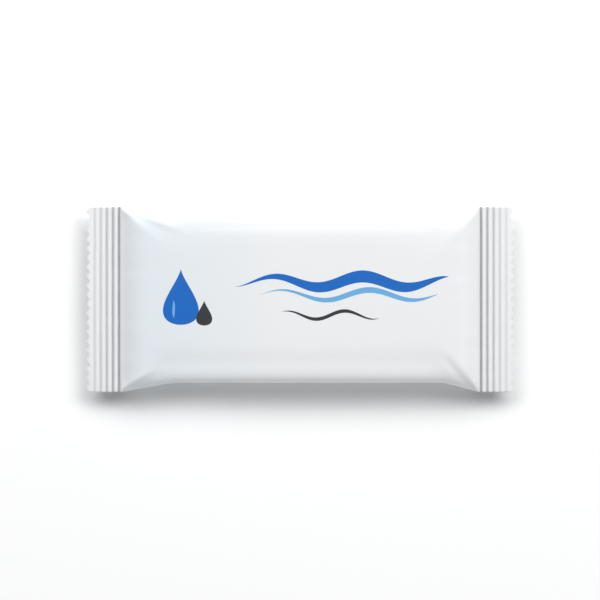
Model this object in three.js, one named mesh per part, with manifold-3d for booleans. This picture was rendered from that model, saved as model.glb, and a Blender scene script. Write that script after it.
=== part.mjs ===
// One wet wipe sealed in a flow-wrapped sachet. A single web of laminated film is rolled into a tube,
// closed by a fin seam that is folded flat on the back, filled, then crimped and saw-cut across both ends.
// Millimetres, +Z up. The sachet lies on its back, its length along X and its middle over the origin.
import * as THREE from 'three';
import { mergeVertices, toCreasedNormals } from 'three/addons/utils/BufferGeometryUtils.js';
import Module from 'manifold-3d';

// Film and overall size
const packLength = 127; // from tooth tip to tooth tip
const layFlatWidth = 55; // the film tube pressed flat, which is also the width of the end seals
const filmGauge = 0.1; // one layer of laminate

// Filled body. Its two ends differ a little, as the wipe inside has slid to the right.
const sideDrawIn = 2.85; // how far each side comes in where the tube is full
const sideRun = { left: 16, right: 11 }; // from the seal line to where the sides run straight
const sidePower = 1.15; // 1 is a straight run, more is a curved one
const crownRun = { left: 8.5, right: 8 }; // from the seal line to the full height
const crownPower = 2.6;
const creaseRun = { left: 20, right: 15 }; // reach of the creases that start at the corners of the seals
const creasePower = 1.4;
const frontFlatWidth = 22; // level band between the creases along the middle of the front
const backFlatWidth = 28; // the same on the back
const flankPower = 4.5; // section of a flank there: 1 is straight, 2 elliptical, more is boxier
const slackShare = 0.16; // of the front's height, lost at the left end, which the wipe has left
const slackStart = 5; // left of the middle, where the front begins to sink
const slackRun = 43; // from there to where it has sunk
const tuckDepth = 0.6; // hollow in the film beside each crease
const tuckRun = 5; // from the seal line to the deepest place of that hollow

// End seals
const sealLength = 10.5; // from tooth tip to the inner seal line
const sealDroop = 1; // how far the cut edge hangs below the seal line
const droopPower = 1.5; // 1 is a straight slope, more bends down towards the cut edge
const sealArch = 0.5; // how far the middle of the cut edge stands above its corners
const toothCount = 20;
const toothDepth = 1.15;
const grooveCount = 5;
const groovePitch = 1.86;
const grooveInset = 0.7; // from the seal line to the middle of the first groove
const grooveDepth = { inner: 0.8, outer: 0.3 }; // the jaws bite less towards the cut edge
const groovePower = 4; // a high power gives narrow grooves between broad ridges

// Fin seam on the back
const finRoot = 0; // the seam runs along the middle of the back
const finWidth = 9;
const finGap = 0.25; // between the back and the free edge of the folded fin
const finSettle = 6; // from the seal line to where the fin lies clear of the back
const finFade = 6; // past the free edge, to where the back is level again

// Facets
const flankColumns = 10; // from a crease to the side fold
const frontColumns = 8; // across the level band of the front
const backColumns = { root: 4, fin: 4, free: 4 }; // beside, over and past the fin
const bodyStep = 16; // between sections where the body runs straight
const runSteps = 14; // sections from the seal line to there
const grooveStations = [-0.5, -0.27, -0.13, 0, 0.13, 0.27]; // in pitches, from the middle of a groove
const stationGap = 0.05; // sections closer than this are one
const sawTrim = 1; // film past the tooth tips, which the saw takes off
const weldDistance = 0.0001;
const arcPower = 1.045; // makes the length of a rounded flank come out right
const creaseAngle = Math.PI / 7; // sharper edges are shaded as creases

const halfWidth = layFlatWidth / 2;
const sealLine = packLength / 2 - sealLength;
const finEdge = finRoot + finWidth;
const finThickness = 2 * filmGauge;
const sides = ['left', 'right'];

const mix = (a, b, share) => a + (b - a) * share;
const smooth = (share) => THREE.MathUtils.smoothstep(share, 0, 1);
const spread = (from, to, steps) => Array.from({ length: steps + 1 }, (_, i) => mix(from, to, i / steps));
const pastSealLine = (x) => Math.abs(x) - sealLine;
const withinSealLine = (x, side) => sealLine + (side === 'left' ? x : -x);

// 0 on the end seals and 1 along the middle, rising over the run at each end
function opened(x, run, power) {
  return sides.reduce((share, side) => {
    const left = 1 - THREE.MathUtils.clamp(withinSealLine(x, side) / run[side], 0, 1);
    return share * (1 - left ** power);
  }, 1);
}

// Height of a panel's middle above the side folds. The film keeps its length, so the height follows from
// how far the sides draw in: a flank's length is close to (reach^k + height^k)^(1/k).
function panelHeight(flatWidth) {
  const film = halfWidth - flatWidth / 2;
  const k = 1 + flankPower ** -arcPower;
  return (film ** k - (film - sideDrawIn) ** k) ** (1 / k);
}

const backHeight = panelHeight(backFlatWidth);
const foldHeight = backHeight + filmGauge;

// Half of one panel's section: level out to a crease, then a flank down to the side fold. Each flank point
// has its distance out from the middle and its rise above the fold.
function panelSection(x, flatWidth) {
  const share = opened(x, creaseRun, creasePower);
  const crease = mix(halfWidth, flatWidth / 2, share);
  const reach = Math.max(0, halfWidth - sideDrawIn * opened(x, sideRun, sidePower) - crease);
  const height = panelHeight(flatWidth) * opened(x, crownRun, crownPower);
  const power = 2 / mix(1, flankPower, share);
  const hollow = tuckHollow(x);
  const flank = spread(0, 1, flankColumns).map((along) => ({
    out: crease + reach * Math.sin((along * Math.PI) / 2) ** power,
    rise: height * Math.cos((along * Math.PI) / 2) ** power - hollow * Math.sin(along * Math.PI) ** 2,
  }));
  flank[flankColumns].rise = 0;
  return { crease, height, flank };
}

// How deep the film is tucked in beside the creases: none at the seal line, most one tuck run inside it
function tuckHollow(x) {
  return sides.reduce((depth, side) => {
    const runs = Math.max(0, withinSealLine(x, side)) / tuckRun;
    return depth + tuckDepth * runs * Math.exp(1 - runs);
  }, 0);
}

// How far the crimping jaws press the sheet down at a station
function grooveDip(x) {
  const pitches = (pastSealLine(x) - grooveInset) / groovePitch;
  const groove = Math.round(pitches);
  if (groove < 0 || groove >= grooveCount) return 0;
  const depth = mix(grooveDepth.inner, grooveDepth.outer, groove / (grooveCount - 1));
  return depth * Math.cos(Math.PI * (pitches - groove)) ** groovePower;
}

// Height of the side folds, and of the middle of the crimped sheet
function sheetHeight(x, y) {
  const out = Math.max(0, pastSealLine(x)) / sealLength;
  const arch = sealArch * (1 - (y / halfWidth) ** 2);
  return foldHeight - grooveDip(x) - sealDroop * out ** droopPower + arch * out;
}

// Front of one section, from -y to +y. It sinks towards the slack end.
function frontLine(x) {
  const { crease, height, flank } = panelSection(x, frontFlatWidth);
  const full = 1 - slackShare * smooth((-x - slackStart) / slackRun);
  const point = (y, rise) => new THREE.Vector3(x, y, sheetHeight(x, y) + filmGauge + rise * full);
  return [
    ...flank.map(({ out, rise }) => point(-out, rise)).reverse(),
    ...spread(-crease, crease, frontColumns).slice(1, -1).map((y) => point(y, height)),
    ...flank.map(({ out, rise }) => point(out, rise)),
  ];
}

// Back of one section, from -y to +y. The web on the root side runs on into the fin. The web on the other
// side turns back over it, so the fin lies in a shallow recess against that web with its long edge free.
// The pocket between them ends where the seals crimp the fin down.
function backLine(x, hasPocket) {
  const { crease, height, flank } = panelSection(x, backFlatWidth);
  const settled = smooth(Math.max(0, -pastSealLine(x)) / finSettle);
  const base = (y, rise) => sheetHeight(x, y) - filmGauge - rise;
  const recess = (y) => {
    const gap = finGap * THREE.MathUtils.clamp((y - finRoot) / finWidth, 0, 1);
    return settled * (finThickness + gap) * (1 - smooth((y - finEdge) / finFade));
  };
  const rootWeb = (y, rise) => new THREE.Vector3(x, y, base(y, rise));
  const freeWeb = (y, rise) => new THREE.Vector3(x, y, base(y, rise) + recess(y));
  const finInside = (y) => new THREE.Vector3(x, y, base(y, height) + finThickness * settled);
  const finOutside = (y) => new THREE.Vector3(x, y, base(y, height) + finThickness * settled - finThickness);
  const overFin = spread(finRoot, finEdge, backColumns.fin);
  return [
    ...flank.map(({ out, rise }) => rootWeb(-out, rise)).reverse(),
    ...spread(-crease, finRoot, backColumns.root).slice(1).map((y) => rootWeb(y, height)),
    ...overFin.map(finOutside),
    ...(hasPocket ? [...overFin].reverse().map(finInside) : []),
    ...overFin.slice(hasPocket ? 1 : -1).map((y) => freeWeb(y, height)),
    ...spread(finEdge, crease, backColumns.free).slice(1).map((y) => freeWeb(y, height)),
    ...flank.slice(1).map(({ out, rise }) => freeWeb(out, rise)),
  ];
}

const ringAt = (x, hasPocket) => [...frontLine(x), ...backLine(x, hasPocket).reverse()];

// Places of the sections along X: six to a groove, then wider apart over the body
function stations() {
  const grooves = Array.from({ length: grooveCount + 1 }, (_, i) => i)
    .flatMap((groove) => grooveStations.map((part) => grooveInset + (groove + part) * groovePitch))
    .filter((out) => out > stationGap && out < grooveInset + grooveCount * groovePitch);
  const straight = Object.fromEntries(
    sides.map((side) => [side, sealLine - Math.max(sideRun[side], crownRun[side], creaseRun[side])]),
  );
  const straightSteps = Math.max(1, Math.ceil((straight.left + straight.right) / bodyStep));
  return [
    ...[0, ...grooves, sealLength + sawTrim].flatMap((out) => [-sealLine - out, sealLine + out]),
    ...spread(-sealLine, -straight.left, runSteps),
    ...spread(-straight.left, straight.right, straightSteps),
    ...spread(straight.right, sealLine, runSteps),
  ]
    .filter((x) => pastSealLine(x) <= sealLength + sawTrim)
    .sort((a, b) => a - b)
    .filter((x, i, list) => i === 0 || x - list[i - 1] > stationGap);
}

// Corners of the triangles between two rings
function band(near, far) {
  return near.flatMap((point, i) => {
    const next = (i + 1) % near.length;
    return [point, far[i], far[next], point, far[next], near[next]];
  });
}

// Corners of the triangles that close one end of the tube
function cap(ring, facesRight) {
  const outline = ring.filter((point, i) => point.distanceTo(ring[(i + 1) % ring.length]) > weldDistance);
  const faces = THREE.ShapeUtils.triangulateShape(
    outline.map(({ y, z }) => new THREE.Vector2(y, z)),
    [],
  );
  return faces.flatMap(([a, b, c]) => (facesRight ? [a, b, c] : [a, c, b])).map((i) => outline[i]);
}

// The filled tube with its fin and crimped ends, still longer than the saw leaves it
function filmTube() {
  const places = stations();
  const bands = places.slice(1).flatMap((far, i) => {
    const near = places[i];
    const hasPocket = pastSealLine((near + far) / 2) < 0;
    return band(ringAt(near, hasPocket), ringAt(far, hasPocket));
  });
  const ends = [...cap(ringAt(places[0], false), false), ...cap(ringAt(places.at(-1), false), true)];
  return new THREE.BufferGeometry().setFromPoints([...bands, ...ends]);
}

// Everything past the zigzag edge at one end, which is 1 for the right end and -1 for the left
function sawWaste(end) {
  const pitch = layFlatWidth / toothCount;
  const tip = packLength / 2;
  const outline = new THREE.Shape();
  outline.moveTo(end * (tip + 2 * sawTrim), -halfWidth - sawTrim);
  outline.lineTo(end * (tip - toothDepth), -halfWidth - sawTrim);
  for (let tooth = 0; tooth < toothCount; tooth += 1) {
    outline.lineTo(end * (tip - toothDepth), -halfWidth + tooth * pitch);
    outline.lineTo(end * tip, -halfWidth + (tooth + 0.5) * pitch);
  }
  outline.lineTo(end * (tip - toothDepth), halfWidth);
  outline.lineTo(end * (tip - toothDepth), halfWidth + sawTrim);
  outline.lineTo(end * (tip + 2 * sawTrim), halfWidth + sawTrim);
  const depth = 2 * foldHeight + 2 * sawTrim;
  return new THREE.ExtrudeGeometry(outline, { depth, bevelEnabled: false }).translate(0, 0, -sawTrim);
}

const wasm = await Module();
wasm.setup();

// A solid for joining and cutting, from a closed mesh. Triangles that have shrunk to a line are left out.
function toSolid(geometry) {
  geometry.deleteAttribute('normal');
  geometry.deleteAttribute('uv');
  const welded = mergeVertices(geometry, weldDistance);
  const index = welded.getIndex().array;
  const faces = Array.from({ length: index.length / 3 }, (_, i) => [...index.slice(3 * i, 3 * i + 3)]);
  const triVerts = Uint32Array.from(faces.filter((face) => new Set(face).size === 3).flat());
  const vertProperties = welded.getAttribute('position').array;
  return new wasm.Manifold(new wasm.Mesh({ numProp: 3, vertProperties, triVerts }));
}

function toGeometry(solid) {
  const { vertProperties, triVerts } = solid.getMesh();
  const geometry = new THREE.BufferGeometry();
  geometry.setAttribute('position', new THREE.BufferAttribute(vertProperties, 3));
  geometry.setIndex(new THREE.BufferAttribute(triVerts, 1));
  return toCreasedNormals(geometry, creaseAngle);
}

function buildSachet() {
  const cut = [1, -1].reduce((solid, end) => solid.subtract(toSolid(sawWaste(end))), toSolid(filmTube()));
  const film = new THREE.MeshStandardMaterial({ color: '#f3f6f8', roughness: 0.35, metalness: 0 });
  const sachet = new THREE.Mesh(toGeometry(cut), film);
  sachet.name = 'sachet';
  return sachet;
}

const pack = new THREE.Group();
pack.add(buildSachet());

export default pack;
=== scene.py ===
import bpy
import numpy as np
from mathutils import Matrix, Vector


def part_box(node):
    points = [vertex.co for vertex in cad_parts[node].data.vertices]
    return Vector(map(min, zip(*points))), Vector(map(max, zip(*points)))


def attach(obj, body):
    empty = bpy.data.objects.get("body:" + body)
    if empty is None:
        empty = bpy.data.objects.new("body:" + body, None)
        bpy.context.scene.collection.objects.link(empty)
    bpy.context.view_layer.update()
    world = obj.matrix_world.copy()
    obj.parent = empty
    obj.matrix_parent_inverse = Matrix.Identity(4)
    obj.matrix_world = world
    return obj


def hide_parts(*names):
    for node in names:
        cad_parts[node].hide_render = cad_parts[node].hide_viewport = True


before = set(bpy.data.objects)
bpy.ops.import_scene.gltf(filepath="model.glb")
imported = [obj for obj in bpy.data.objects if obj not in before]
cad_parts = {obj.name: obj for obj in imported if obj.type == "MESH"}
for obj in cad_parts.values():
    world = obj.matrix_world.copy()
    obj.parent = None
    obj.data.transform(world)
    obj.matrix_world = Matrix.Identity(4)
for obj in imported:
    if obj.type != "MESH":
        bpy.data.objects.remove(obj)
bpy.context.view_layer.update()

mm = 0.001
lowCorner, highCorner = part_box("sachet")
packLength = (highCorner.x - lowCorner.x) / mm
sealWidth = (highCorner.y - lowCorner.y) / mm
print("frame loaded: sachet", round(packLength, 1), "by", round(sealWidth, 1), "mm")

# Film of the filled tube, in mm. Pairs are for the left and right end.
film = {
    "gauge": 0.1,            # one layer of laminate
    "drawIn": 2.85,          # how far each long side comes in where the tube is full
    "sideRun": (16, 11),     # from the seal line to where the sides run straight
    "sidePower": 1.15,
    "crownRun": (8.5, 8),    # from the seal line to full height
    "crownPower": 2.6,
    "creaseRun": (20, 15),   # length of the creases from the seal's corners
    "creasePower": 1.4,
    "frontFlat": 22,         # level band along the front and the back
    "backFlat": 28,
    "flankPower": 4.5,       # section of a flank: 1 straight, 2 elliptical, more is boxier
    "arcPower": 1.045,       # fits a flank's rise to the film that the draw-in frees
    "slack": 0.16,           # share of the front's height lost at the left end, from and to these X
    "slackRun": (-5, -48),
    "tuckDepth": 0.6,        # hollow beside each corner crease, deepest this far from the seal line
    "tuckRun": 5,
    "columns": 160,          # across the film, four to each half tooth
    "bodyRows": 176,
}

# Crimped and saw-cut end seals
seal = {
    "length": 10.5,              # from the seal line to the tips of the teeth
    "droop": 1.0,                # of the tips, below the seal line
    "droopPower": 1.5,
    "arch": 0.5,                 # of the middle, above the corners
    "teeth": 20,
    "toothDepth": 1.15,
    "grooves": 5,
    "groovePitch": 1.86,
    "grooveInset": 0.7,          # first groove, from the seal line
    "grooveDepth": (0.8, 0.3),   # at the seal line and by the cut edge
    "groovePower": 4,            # more is narrower
    "rows": 54,                  # up to the end of the last groove
    "edgeRows": 7,               # from there to the teeth
}

# Soft creases of the front: from (x, y) to (x, y), height, below 0 for a valley, half breadth, and the
# shares of their length over which the two ends fade
creases = [
    (-52.8, -27.2, -42.0, -19.6, 0.45, 0.8, 0.1, 0.5),
    (-48.0, -18.6, 45.0, -18.6, -0.22, 2.8, 0.1, 0.1),
    (51.6, -27.2, 40.0, -14.4, -0.30, 1.2, 0.1, 0.5),
    (-52.0, 27.0, -32.0, 19.2, 0.42, 1.1, 0.1, 0.6),
    (-40.0, 21.8, 42.0, 21.8, -0.14, 1.6, 0.2, 0.1),
    (51.0, 26.8, 43.0, 16.0, 0.16, 1.3, 0.1, 0.6),
    (-52.5, -26.5, -52.5, 26.5, -0.45, 0.9, 0.06, 0.06),
]

# Gathers that run in from the end seals, as waves across the film's width
gathers = {
    "height": 0.02,
    "waves": (9, 14, 22),
    "peak": 7 / 3,           # where they are highest, from the seal line
    "edgePower": 4,          # more keeps them up nearer the long sides
    "seed": 4,
}

# Fin seam, folded flat on the back
fin = {
    "root": 0,               # Y of the seam
    "width": 9,
    "gap": 0.25,             # behind the free edge
    "settle": 6,             # from a seal line to where the fin lies free
    "fade": 6,               # from the free edge to where the back is level again
    "seat": 0.02,            # into the back
    "columns": 26,
    "crimpPitch": 1.1,
    "crimpDepth": 0.05,
}

# Film and its print, lengths in mm
laminate = {
    "white": "#F8F9FA",
    "coolShadeTone": "#EDF4F9",       # painted cool shade over the slack left end
    "coolShadeRun": (0, -48),        # X where that starts and where it is full
    "coolShadeFade": 4,              # beside the seal lines
    "grooveShadeGrey": "#B4B7B9",    # painted shade at the bottom of the deepest crimp
    "roughness": (0.48, 0.6),
    "sheenSize": 9,              # patches of more and less gloss
    "ior": 1.5,
    "rippleSize": 7,             # unevenness that the hand would feel
    "rippleHeight": 0.03,
    "grainSize": 0.5,            # grain of the extruded film
    "grainHeight": 0.0015,
    "printEdge": 0.06,           # over which a printed colour starts
}
noiseSpan = (0.3, 0.7)           # most of a noise texture's values

halfWidth = sealWidth / 2
sealLine = packLength / 2 - seal["length"]
finThickness = 2 * film["gauge"]


def smooth(t):
    # 0 to 1 as t^2 (3 - 2 t)
    t = np.clip(t, 0, 1)
    return t * t * (3 - 2 * t)


def within(x):
    # Distance inside the left and the right seal line: x measured from each, positive over the body
    return sealLine + x, sealLine - x


def opened(x, runs, power):
    # Product over both ends of 1 - (1 - distance / run)^power: 0 on the seals, 1 along the middle
    share = np.ones_like(x)
    for inside, run in zip(within(x), runs):
        share = share * (1 - (1 - np.clip(inside / run, 0, 1)) ** power)
    return share


def panelHeight(flatWidth):
    # The film keeps its length: height^k = length^k - (length - drawIn)^k, with k fitted to a superellipse
    length = halfWidth - flatWidth / 2
    k = 1 + film["flankPower"] ** -film["arcPower"]
    return (length ** k - (length - film["drawIn"]) ** k) ** (1 / k)


backHeight = panelHeight(film["backFlat"])
foldHeight = backHeight + film["gauge"]


def panel(x, s, flatWidth):
    # A station x and a distance s along the film give y and the rise above the side fold: level out to the
    # crease, then (out / reach)^n + (rise / height)^n = 1, met at even angles, with n 1 at the seals
    share = opened(x, film["creaseRun"], film["creasePower"])
    crease = halfWidth + (flatWidth / 2 - halfWidth) * share
    reach = halfWidth - film["drawIn"] * opened(x, film["sideRun"], film["sidePower"]) - crease
    height = panelHeight(flatWidth) * opened(x, film["crownRun"], film["crownPower"])
    n = 1 + (film["flankPower"] - 1) * share
    angle = np.clip((np.abs(s) - crease) / np.maximum(halfWidth - crease, 1e-6), 0, 1) * np.pi / 2
    sine, cosine = np.sin(angle), np.maximum(np.cos(angle), 0)
    radius = (sine ** n + cosine ** n) ** (-1 / n)
    y = np.sign(s) * (np.minimum(np.abs(s), crease) + np.maximum(reach, 0) * sine * radius)
    runs = [np.maximum(inside, 0) / film["tuckRun"] for inside in within(x)]
    hollow = film["tuckDepth"] * sum(r * np.exp(1 - r) for r in runs)
    return y, height * cosine * radius - hollow * np.sin(2 * angle) ** 2


def grooveDip(x):
    # cos^power of the distance from the nearest groove in pitches, with the depth falling to the cut edge
    pitches = (np.abs(x) - sealLine - seal["grooveInset"]) / seal["groovePitch"]
    groove = np.round(pitches)
    inner, outer = seal["grooveDepth"]
    depth = inner + (outer - inner) * groove / (seal["grooves"] - 1)
    dip = depth * np.cos(np.pi * (pitches - groove)) ** seal["groovePower"]
    return np.where((groove >= 0) & (groove < seal["grooves"]), dip, 0)


def creaseRelief(x, y):
    # Sum over the creases of height * exp(-(distance to the line / half breadth)^2), faded at both ends
    relief = np.zeros_like(x)
    for x0, y0, x1, y1, height, halfBreadth, firstFade, lastFade in creases:
        length = np.hypot(x1 - x0, y1 - y0)
        along = np.clip(((x - x0) * (x1 - x0) + (y - y0) * (y1 - y0)) / length ** 2, 0, 1)
        away = np.hypot(x - x0 - along * (x1 - x0), y - y0 - along * (y1 - y0))
        ends = smooth(along / firstFade) * smooth((1 - along) / lastFade)
        relief += height * np.exp(-(away / halfBreadth) ** 2) * ends
    return relief * smooth(np.minimum(*within(x)))


def gatherRelief(x, s):
    # Sines across the film times r e^(1 - r), with r the distance inside a seal line over that of the peak
    chance = np.random.default_rng(gathers["seed"])
    relief = np.zeros_like(x)
    for inside in within(x):
        r = np.maximum(inside, 0) / gathers["peak"]
        for waves in gathers["waves"]:
            phase = chance.uniform(0, 2 * np.pi)
            relief += np.sin(np.pi * waves * s / halfWidth / 2 + phase) * r * np.exp(1 - r)
    return gathers["height"] * relief * (1 - (s / halfWidth) ** gathers["edgePower"])


def sheetHeight(x, y):
    # Height of the side folds, less the grooves; past the seal line the sheet droops and its middle arches
    out = np.maximum(0, np.abs(x) - sealLine) / seal["length"]
    arch = seal["arch"] * (1 - (y / halfWidth) ** 2)
    return foldHeight - grooveDip(x) - seal["droop"] * out ** seal["droopPower"] + arch * out


def stations(s):
    # Rows along X for each distance s: even over the body and the grooves, then fanned out to the zigzag,
    # whose edge is a triangle wave of s
    lastGroove = seal["grooveInset"] + (seal["grooves"] - 0.5) * seal["groovePitch"]
    phase = (s + halfWidth) / sealWidth * seal["teeth"]
    tooth = 1 - np.abs(2 * (phase - np.floor(phase)) - 1)
    cutEdge = seal["length"] - seal["toothDepth"] * (1 - tooth)
    grooves = np.linspace(0, lastGroove, seal["rows"] + 1)[:, None] + 0 * s
    fan = np.linspace(0, 1, seal["edgeRows"] + 1)[1:, None]
    teeth = lastGroove + fan * (cutEdge - lastGroove)
    right = sealLine + np.vstack([grooves, teeth])
    body = np.linspace(-sealLine, sealLine, film["bodyRows"] + 1)[1:-1, None] + 0 * s
    return np.vstack([-right[::-1], body, right])


def slab(name, top, bottom, material):
    # A closed skin from two grids of points in mm: the cells of each, and a wall between their rims
    rows, columns = top.shape[:2]
    index = np.arange(rows * columns).reshape(rows, columns)
    lower = index + rows * columns
    upper = [index[:-1, :-1], index[1:, :-1], index[1:, 1:], index[:-1, 1:]]
    under = [lower[:-1, :-1], lower[:-1, 1:], lower[1:, 1:], lower[1:, :-1]]
    cells = [np.stack(upper, -1).reshape(-1, 4), np.stack(under, -1).reshape(-1, 4)]
    rim = np.concatenate([index[0, :-1], index[:-1, -1], index[-1, :0:-1], index[:0:-1, 0]])
    after = np.roll(rim, -1)
    cells.append(np.stack([rim, after, after + rows * columns, rim + rows * columns], -1))
    quads = np.concatenate(cells).astype(np.int32)
    points = np.concatenate([top.reshape(-1, 3), bottom.reshape(-1, 3)]) * mm
    mesh = bpy.data.meshes.new(name)
    mesh.vertices.add(len(points))
    mesh.vertices.foreach_set("co", points.astype(np.float32).ravel())
    mesh.loops.add(quads.size)
    mesh.loops.foreach_set("vertex_index", quads.ravel())
    mesh.polygons.add(len(quads))
    mesh.polygons.foreach_set("loop_start", np.arange(0, quads.size, 4, dtype=np.int32))
    mesh.polygons.foreach_set("use_smooth", np.ones(len(quads), dtype=bool))
    mesh.update(calc_edges=True)
    mesh.validate()
    x = points[:, 0] / mm
    # painted cool shade over the slack left end: rising from the run's start to its end, faded beside the
    # seal lines
    start, end = laminate["coolShadeRun"]
    body = smooth(np.minimum(*within(x)) / laminate["coolShadeFade"])
    layers = {
        # painted shade in the crimp grooves, following each groove's depth: 1 in the inner groove
        "paintedGrooveShade": grooveDip(x) / seal["grooveDepth"][0],
        "paintedCoolShade": smooth((x - start) / (end - start)) * body,
    }
    for layer, values in layers.items():
        mesh.attributes.new(layer, "FLOAT", "POINT").data.foreach_set("value", values.astype(np.float32))
    mesh.materials.append(material)
    piece = bpy.data.objects.new(name, mesh)
    bpy.context.scene.collection.objects.link(piece)
    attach(piece, "root")
    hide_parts("sachet")
    print(name, len(quads), "quads")


def finSettled(x):
    # 0 on the seals, where the fin is pressed into the film, and 1 where it lies free
    return smooth(np.maximum(0, sealLine - np.abs(x)) / fin["settle"])


def finRecess(x, y):
    # The web behind the fin stands back by the fin's thickness and a gap that widens to the fin's free edge
    past = y - fin["root"] - fin["width"]
    gap = fin["gap"] * np.clip((y - fin["root"]) / fin["width"], 0, 1)
    room = (finThickness + gap) * (1 - smooth(past / fin["fade"]))
    return finSettled(x) * np.where(y < fin["root"], 0, room)


def filmTube(material):
    # Front and back of the tube, a gauge to either side of the side folds: panel, slack, creases, gathers
    s = np.linspace(-halfWidth, halfWidth, film["columns"] + 1)[None, :]
    x = stations(s)
    s = s + 0 * x
    y, rise = panel(x, s, film["frontFlat"])
    start, end = film["slackRun"]
    rise = rise * (1 - film["slack"] * smooth((x - start) / (end - start)))
    rise = rise + creaseRelief(x, y) + gatherRelief(x, s)
    front = np.stack([x, y, sheetHeight(x, y) + film["gauge"] + rise], -1)
    y, rise = panel(x, s, film["backFlat"])
    back = np.stack([x, y, sheetHeight(x, y) - film["gauge"] - rise + finRecess(x, y)], -1)
    slab("filmTube", front, back, material)


def finSeam(material):
    # Two layers folded flat on the back, with crimp lines along it: (1 - cos(2 pi y / pitch)) / 2 deep
    s = np.linspace(fin["root"], fin["root"] + fin["width"], fin["columns"] + 1)[None, :]
    x = stations(s)
    y = s + 0 * x
    rise = panel(x, y, film["backFlat"])[1]
    crimp = fin["crimpDepth"] * (0.5 - 0.5 * np.cos(2 * np.pi * y / fin["crimpPitch"]))
    inner = sheetHeight(x, y) - film["gauge"] - rise + finThickness * finSettled(x)
    top = np.stack([x, y, inner + fin["seat"]], -1)
    bottom = np.stack([x, y, inner - finThickness + crimp], -1)
    slab("finSeam", top, bottom, material)


def linear(code):
    # sRGB hex to linear: ((c + 0.055) / 1.055)^2.4 above the toe
    channels = np.array([int(code[i:i + 2], 16) for i in (1, 3, 5)]) / 255
    toe = channels / 12.92
    return (*np.where(channels > 0.04045, ((channels + 0.055) / 1.055) ** 2.4, toe), 1)


def addNode(tree, kind, settings=None, inputs=None):
    # One node with its settings; an input takes a value or another node's output
    node = tree.nodes.new(kind)
    for key, value in (settings or {}).items():
        setattr(node, key, value)
    for key, value in (inputs or {}).items():
        if isinstance(value, bpy.types.NodeSocket):
            tree.links.new(value, node.inputs[key])
        else:
            node.inputs[key].default_value = value
    return node


def newMaterial(name):
    material = bpy.data.materials.new(name)
    material.use_nodes = True
    material.node_tree.nodes.clear()
    return material, material.node_tree


blue = "#0067C2"
paleBlue = "#6FB4E6"
charcoal = "#131417"

# Each printed mark: middle, turn in degrees, half length and half breadth, powers of its two ends (0.5
# round, 1 and up pointed), sway of its middle line and the length of that wave, colour
marks = [
    ((-35.2, 0.9), 90, (8.4, 4.1), (0.5, 1.5), (0, 10), blue),
    ((-37.3, -2.9), 110, (2.6, 0.45), (0.9, 0.9), (-0.9, 14), paleBlue),
    ((-28.3, -3.9), 90, (3.8, 1.85), (0.5, 1.5), (0, 10), charcoal),
    ((12.0, 5.2), 0, (32.0, 1.75), (1.2, 0.8), (1.6, 26), blue),
    ((14.0, 1.3), 0, (27.0, 0.85), (1.2, 0.8), (1.5, 26), paleBlue),
    ((9.0, -4.6), 0, (15.0, 0.6), (1.0, 1.0), (1.2, 17), charcoal),
]


def addMark(tree, point, mark):
    # Inside where half breadth * (1 - u)^q * (1 + u)^p is more than |v - sway * sin(2 pi u length / wave)|,
    # with u along the mark from -1 to 1 and v across it
    middle, turn, (halfLength, halfBreadth), (startPower, endPower), (sway, wave), _ = mark
    local = addNode(tree, "ShaderNodeMapping", {"vector_type": "TEXTURE"}, {
        "Vector": point,
        "Location": (*middle, 0),
        "Rotation": (0, 0, np.radians(turn)),
        "Scale": (halfLength, halfBreadth, 1)})
    axes = addNode(tree, "ShaderNodeSeparateXYZ", None, {0: local.outputs[0]})
    u, v = axes.outputs[0], axes.outputs[1]
    ends = []
    for side, power in ((1, startPower), (-1, endPower)):
        distance = addNode(tree, "ShaderNodeMath", {"operation": "MULTIPLY_ADD"}, {0: u, 1: side, 2: 1})
        positive = addNode(tree, "ShaderNodeMath", {"operation": "MAXIMUM"}, {
            0: distance.outputs[0], 1: 0})
        ends.append(addNode(tree, "ShaderNodeMath", {"operation": "POWER"}, {
            0: positive.outputs[0], 1: power}))
    breadth = addNode(tree, "ShaderNodeMath", {"operation": "MULTIPLY"}, {
        0: ends[0].outputs[0], 1: ends[1].outputs[0]})
    turns = addNode(tree, "ShaderNodeMath", {"operation": "MULTIPLY"}, {
        0: u, 1: 2 * np.pi * halfLength / wave})
    sine = addNode(tree, "ShaderNodeMath", {"operation": "SINE"}, {0: turns.outputs[0]})
    middleLine = addNode(tree, "ShaderNodeMath", {"operation": "MULTIPLY"}, {
        0: sine.outputs[0], 1: sway / halfBreadth})
    offLine = addNode(tree, "ShaderNodeMath", {"operation": "SUBTRACT"}, {
        0: v, 1: middleLine.outputs[0]})
    away = addNode(tree, "ShaderNodeMath", {"operation": "ABSOLUTE"}, {0: offLine.outputs[0]})
    depth = addNode(tree, "ShaderNodeMath", {"operation": "SUBTRACT"}, {
        0: breadth.outputs[0], 1: away.outputs[0]})
    edge = addNode(tree, "ShaderNodeMapRange", None, {
        "Value": depth.outputs[0], "From Min": 0, "From Max": laminate["printEdge"] / halfBreadth})
    return edge.outputs[0]


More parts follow.
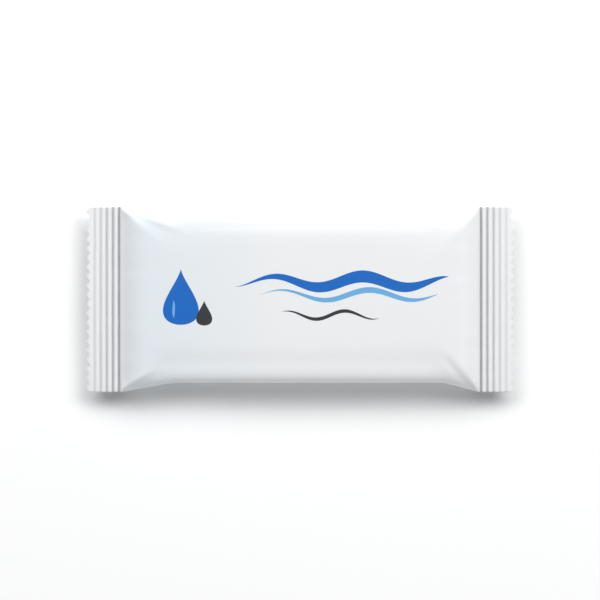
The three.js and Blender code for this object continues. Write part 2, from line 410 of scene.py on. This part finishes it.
def laminateMaterial():
    # White laminated film, printed under its clear satin layer and heat-sealed: reads as a cool, faintly
    # uneven white with soft broad highlights, with painted shade in the crimps and painted cool shade over
    # the slack left end
    material, tree = newMaterial("laminateFilm")
    place = addNode(tree, "ShaderNodeTexCoord").outputs["Object"]
    point = addNode(tree, "ShaderNodeVectorMath", {"operation": "SCALE"}, {
        0: place, "Scale": 1 / mm}).outputs[0]
    axes = addNode(tree, "ShaderNodeSeparateXYZ", None, {0: point})
    # painted cool shade over the slack left end
    paintedCoolShade = addNode(tree, "ShaderNodeAttribute", {"attribute_name": "paintedCoolShade"})
    tone = addNode(tree, "ShaderNodeMix", {"data_type": "RGBA"}, {
        0: paintedCoolShade.outputs["Fac"], 6: linear(laminate["white"]), 7: linear(laminate["coolShadeTone"])})
    # painted shade in the crimp grooves: the tone is mixed toward grey by groove depth
    paintedGrooveShade = addNode(tree, "ShaderNodeAttribute", {"attribute_name": "paintedGrooveShade"})
    tone = addNode(tree, "ShaderNodeMix", {"data_type": "RGBA"}, {
        0: paintedGrooveShade.outputs["Fac"], 6: tone.outputs[2], 7: linear(laminate["grooveShadeGrey"])})
    isFront = addNode(tree, "ShaderNodeMath", {"operation": "GREATER_THAN"}, {
        0: axes.outputs[2], 1: foldHeight})
    for mark in marks:
        inked = addNode(tree, "ShaderNodeMath", {"operation": "MULTIPLY"}, {
            0: isFront.outputs[0], 1: addMark(tree, point, mark)})
        tone = addNode(tree, "ShaderNodeMix", {"data_type": "RGBA"}, {
            0: inked.outputs[0], 6: tone.outputs[2], 7: linear(mark[-1])})
    sheen = addNode(tree, "ShaderNodeTexNoise", None, {
        "Vector": point, "Scale": 1 / laminate["sheenSize"], "Detail": 3})
    roughness = addNode(tree, "ShaderNodeMapRange", None, {
        "Value": sheen.outputs[0],
        "From Min": noiseSpan[0],
        "From Max": noiseSpan[1],
        "To Min": laminate["roughness"][0],
        "To Max": laminate["roughness"][1]})
    ripple = addNode(tree, "ShaderNodeTexNoise", None, {
        "Vector": point, "Scale": 1 / laminate["rippleSize"], "Detail": 1})
    soft = addNode(tree, "ShaderNodeBump", None, {
        "Height": ripple.outputs[0], "Distance": laminate["rippleHeight"] * mm})
    grain = addNode(tree, "ShaderNodeTexNoise", None, {
        "Vector": point, "Scale": 1 / laminate["grainSize"]})
    fine = addNode(tree, "ShaderNodeBump", None, {
        "Height": grain.outputs[0], "Distance": laminate["grainHeight"] * mm, "Normal": soft.outputs[0]})
    shader = addNode(tree, "ShaderNodeBsdfPrincipled", None, {
        "Base Color": tone.outputs[2],
        "Roughness": roughness.outputs[0],
        "IOR": laminate["ior"],
        "Normal": fine.outputs[0]})
    addNode(tree, "ShaderNodeOutputMaterial", None, {"Surface": shader.outputs[0]})
    return material


print("building the film")
laminateFilm = laminateMaterial()
filmTube(laminateFilm)
finSeam(laminateFilm)

# Studio: lengths in metres, lens and sensor in mm, lamps in watts, each aimed at the sachet's middle
studio = {
    "frameWidth": 0.178,     # what the picture covers at the height of the side folds
    "frameMiddle": (0, -0.00015),
    "lens": 180,
    "sensor": 36,
    "rightKey": {"aim": (0.55, 0.70, 0.61), "distance": 1.4, "size": (1.6, 0.6), "power": 16.2},
    "leftKey": {"aim": (-0.50, 0.72, 0.61), "distance": 1.4, "size": (1.6, 0.6), "power": 12.8},
    "frontFill": {"aim": (0.1, -1, 0.16), "distance": 1.4, "size": (1.6, 0.4), "power": 6.5},
    "ambient": 0.15,
    "ambientTint": (0.97, 1.0, 1.03, 1),
    "floorSize": 4,
    "floorTone": (0.8, 0.8, 0.8, 1),       # as it lights the sachet from below
    "floorSeen": (1.18, 1.18, 1.18, 1),    # as the picture shows it, white at the level of the lamps
}


def areaLight(name, spec, target):
    # A soft box that faces the target from the aim's direction
    data = bpy.data.lights.new(name, "AREA")
    data.shape = "RECTANGLE"
    data.size, data.size_y = spec["size"]
    data.energy = spec["power"]
    lamp = bpy.data.objects.new(name, data)
    direction = Vector(spec["aim"]).normalized()
    lamp.location = target + direction * spec["distance"]
    lamp.rotation_euler = direction.to_track_quat("Z", "Y").to_euler()
    bpy.context.scene.collection.objects.link(lamp)


def seenDirectly(tree):
    # 1 for what the camera sees, also in gloss or through glass, and 0 for the light that falls on things
    path = addNode(tree, "ShaderNodeLightPath")
    sight = path.outputs["Is Camera Ray"]
    for ray in ("Is Glossy Ray", "Is Transmission Ray"):
        sight = addNode(tree, "ShaderNodeMath", {"operation": "MAXIMUM"}, {
            0: sight, 1: path.outputs[ray]}).outputs[0]
    return sight


def floorMaterial():
    # Matt white paper sweep: keeps the shadow and reads as the white round the object
    material, tree = newMaterial("whitePaperSweep")
    tone = addNode(tree, "ShaderNodeMix", {"data_type": "RGBA"}, {
        0: seenDirectly(tree), 6: studio["floorTone"], 7: studio["floorSeen"]})
    shader = addNode(tree, "ShaderNodeBsdfDiffuse", None, {"Color": tone.outputs[2]})
    addNode(tree, "ShaderNodeOutputMaterial", None, {"Surface": shader.outputs[0]})
    return material


def buildStudio():
    scene = bpy.context.scene
    scene.view_settings.view_transform = "Standard"
    target = Vector((0, 0, foldHeight * mm))
    half = studio["floorSize"] / 2
    mesh = bpy.data.meshes.new("floor")
    corners = [(-half, -half, 0), (half, -half, 0), (half, half, 0), (-half, half, 0)]
    mesh.from_pydata(corners, [], [(0, 1, 2, 3)])
    mesh.materials.append(floorMaterial())
    floor = bpy.data.objects.new("floor", mesh)
    scene.collection.objects.link(floor)
    for name in ("rightKey", "leftKey", "frontFill"):
        areaLight(name, studio[name], target)
    world = bpy.data.worlds.new("studio")
    world.use_nodes = True
    tree = world.node_tree
    tree.nodes.clear()
    sight = seenDirectly(tree)
    level = addNode(tree, "ShaderNodeMix", {"data_type": "FLOAT"}, {0: sight, 2: studio["ambient"], 3: 1.0})
    tint = addNode(tree, "ShaderNodeMix", {"data_type": "RGBA"}, {
        0: sight, 6: studio["ambientTint"], 7: (1, 1, 1, 1)})
    sky = addNode(tree, "ShaderNodeBackground", None, {
        "Color": tint.outputs[2], "Strength": level.outputs[0]})
    addNode(tree, "ShaderNodeOutputWorld", None, {"Surface": sky.outputs[0]})
    scene.world = world
    data = bpy.data.cameras.new("camera")
    data.lens = studio["lens"]
    data.sensor_width = studio["sensor"]
    camera = bpy.data.objects.new("camera", data)
    height = studio["lens"] / studio["sensor"] * studio["frameWidth"]
    camera.location = (*studio["frameMiddle"], target.z + height)
    scene.collection.objects.link(camera)
    scene.camera = camera


buildStudio()
print("studio ready")
